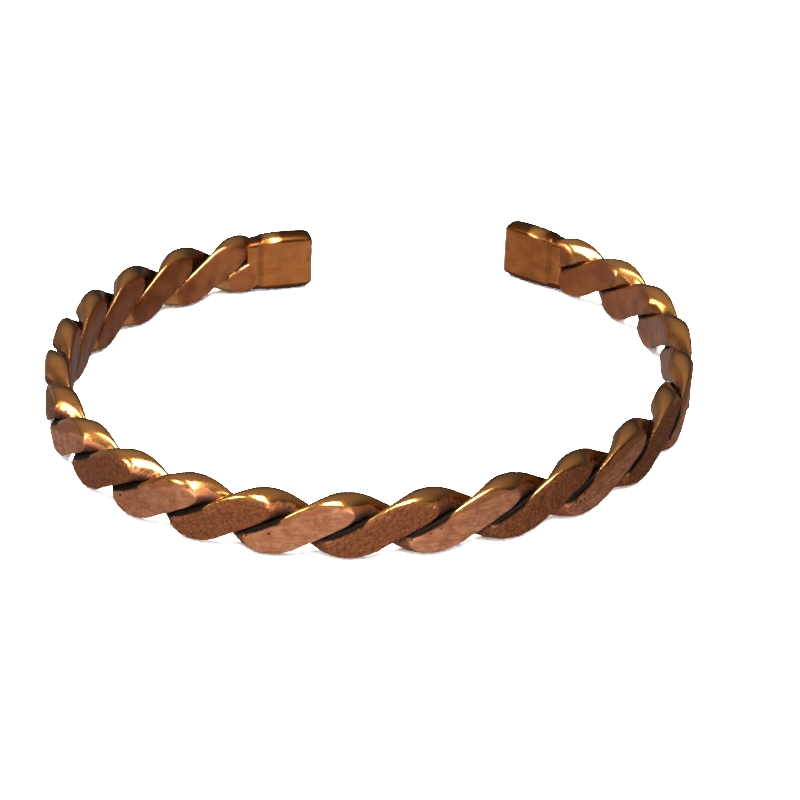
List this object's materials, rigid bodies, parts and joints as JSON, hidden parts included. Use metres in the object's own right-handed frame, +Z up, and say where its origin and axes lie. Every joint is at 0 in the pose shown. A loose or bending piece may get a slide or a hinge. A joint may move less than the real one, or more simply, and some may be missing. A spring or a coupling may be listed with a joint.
{
  "type": "twisted copper cuff bracelet",
  "caption": "Open cuff bracelet of thick copper wires twisted into a rope, pressed flat inside and out, with a flattened cap at each end.",
  "frame": {"origin": "middle of the cuff's box, on the surface that it lies on", "axes": "+Z up through the wrist opening as the cuff lies on its side, -Y towards the closed front, +Y towards the gap between the end caps, +X to the right seen from the front"},
  "size_m": [0.064, 0.0612, 0.0067],
  "materials": {
    "textured_copper": "copper, pebbled and matte on the outer face, polished on the round edges",
    "smooth_copper": "copper, brushed on the flat faces, polished on the round edges",
    "cap_copper": "copper, satin on the flat faces, polished on the crowned edges"
  },
  "bodies": {
    "root": {"wire_textured": "textured_copper", "wire_smooth": "smooth_copper", "end_cap_left": "cap_copper", "end_cap_right": "cap_copper"}
  },
  "joints": []
}
